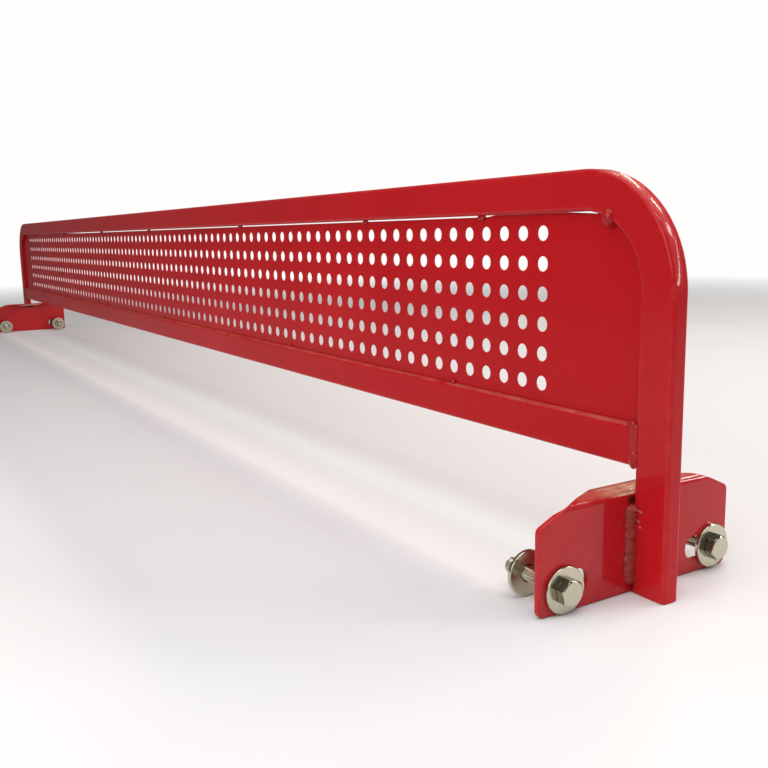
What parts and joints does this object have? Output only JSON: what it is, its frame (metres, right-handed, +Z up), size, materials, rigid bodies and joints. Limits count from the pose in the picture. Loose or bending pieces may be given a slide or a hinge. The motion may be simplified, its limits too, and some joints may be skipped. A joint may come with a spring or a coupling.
{
  "type": "table tennis net with clamp brackets",
  "caption": "Rigid steel table tennis net: bent tube frame around a perforated panel, welded to slotted clamp brackets that bolt to the side rails of the table.",
  "frame": {"origin": "on the plane of the tabletop, half way across the table, in the middle of the net's thickness", "axes": "+X along the net, across the table; +Y along the table, across the net's thickness; +Z up from the tabletop"},
  "size_m": [1.572, 0.127, 0.201],
  "materials": {
    "red_paint": "glossy powder coat, scuffed at the brackets",
    "zinc": "bright zinc plate"
  },
  "bodies": {
    "frame": {"net_frame": "red_paint", "bottom_rail": "red_paint", "perforated_panel": "red_paint", "clamp_plate_right": "red_paint", "clamp_plate_left": "red_paint", "post_weld_right_front": "red_paint", "post_weld_right_rear": "red_paint", "post_weld_left_front": "red_paint", "post_weld_left_rear": "red_paint", "rail_end_weld_right_front": "red_paint", "rail_end_weld_right_rear": "red_paint", "rail_end_weld_left_front": "red_paint", "rail_end_weld_left_rear": "red_paint", "corner_weld_right": "red_paint", "corner_weld_left": "red_paint", "top_tack_weld_1": "red_paint", "top_tack_weld_2": "red_paint", "top_tack_weld_3": "red_paint", "top_tack_weld_4": "red_paint", "top_tack_weld_5": "red_paint", "top_tack_weld_6": "red_paint", "top_tack_weld_7": "red_paint", "bottom_tack_weld_1": "red_paint", "bottom_tack_weld_2": "red_paint", "bottom_tack_weld_3": "red_paint", "bottom_tack_weld_4": "red_paint", "bottom_tack_weld_5": "red_paint", "bottom_tack_weld_6": "red_paint"},
    "nut_right_front": {"hex_nut_right_front": "zinc", "back_washer_right_front": "zinc"},
    "washer_right_front": {"flat_washer_right_front": "zinc"},
    "bolt_right_front": {"hex_bolt_right_front": "zinc"},
    "nut_right_rear": {"hex_nut_right_rear": "zinc", "back_washer_right_rear": "zinc"},
    "washer_right_rear": {"flat_washer_right_rear": "zinc"},
    "bolt_right_rear": {"hex_bolt_right_rear": "zinc"},
    "nut_left_front": {"hex_nut_left_front": "zinc", "back_washer_left_front": "zinc"},
    "washer_left_front": {"flat_washer_left_front": "zinc"},
    "bolt_left_front": {"hex_bolt_left_front": "zinc"},
    "nut_left_rear": {"hex_nut_left_rear": "zinc", "back_washer_left_rear": "zinc"},
    "washer_left_rear": {"flat_washer_left_rear": "zinc"},
    "bolt_left_rear": {"hex_bolt_left_rear": "zinc"}
  },
  "joints": [
    {"name": "slot_slide_right_front", "type": "slide", "parent": "frame", "child": "nut_right_front", "axis": [0, 1, 0], "range_m": [-0.0047, 0.0096]},
    {"name": "back_off_right_front", "type": "slide", "parent": "nut_right_front", "child": "washer_right_front", "axis": [1, 0, 0], "range_m": [0, 0.0075]},
    {"name": "bolt_turn_right_front", "type": "hinge", "parent": "washer_right_front", "child": "bolt_right_front", "pos_m": [0.766, -0.0487, -0.0372], "axis": [1, 0, 0], "range_deg": [0, 2160]},
    {"name": "slot_slide_right_rear", "type": "slide", "parent": "frame", "child": "nut_right_rear", "axis": [0, 1, 0], "range_m": [-0.0134, 0.0027]},
    {"name": "back_off_right_rear", "type": "slide", "parent": "nut_right_rear", "child": "washer_right_rear", "axis": [1, 0, 0], "range_m": [0, 0.0075]},
    {"name": "bolt_turn_right_rear", "type": "hinge", "parent": "washer_right_rear", "child": "bolt_right_rear", "pos_m": [0.766, 0.0516, -0.0364], "axis": [1, 0, 0], "range_deg": [0, 2160]},
    {"name": "slot_slide_left_front", "type": "slide", "parent": "frame", "child": "nut_left_front", "axis": [0, 1, 0], "range_m": [-0.0067, 0.0082]},
    {"name": "back_off_left_front", "type": "slide", "parent": "nut_left_front", "child": "washer_left_front", "axis": [-1, 0, 0], "range_m": [0, 0.0075]},
    {"name": "bolt_turn_left_front", "type": "hinge", "parent": "washer_left_front", "child": "bolt_left_front", "pos_m": [-0.766, -0.047, -0.037], "axis": [-1, 0, 0], "range_deg": [0, 2160]},
    {"name": "slot_slide_left_rear", "type": "slide", "parent": "frame", "child": "nut_left_rear", "axis": [0, 1, 0], "range_m": [-0.0082, 0.0067]},
    {"name": "back_off_left_rear", "type": "slide", "parent": "nut_left_rear", "child": "washer_left_rear", "axis": [-1, 0, 0], "range_m": [0, 0.0075]},
    {"name": "bolt_turn_left_rear", "type": "hinge", "parent": "washer_left_rear", "child": "bolt_left_rear", "pos_m": [-0.766, 0.047, -0.037], "axis": [-1, 0, 0], "range_deg": [0, 2160]}
  ],
  "couplings": [
    {"joint": "bolt_turn_right_front", "follows": "back_off_right_front", "rad_per_m": 5026.5},
    {"joint": "bolt_turn_right_rear", "follows": "back_off_right_rear", "rad_per_m": 5026.5},
    {"joint": "bolt_turn_left_front", "follows": "back_off_left_front", "rad_per_m": 5026.5},
    {"joint": "bolt_turn_left_rear", "follows": "back_off_left_rear", "rad_per_m": 5026.5}
  ]
}
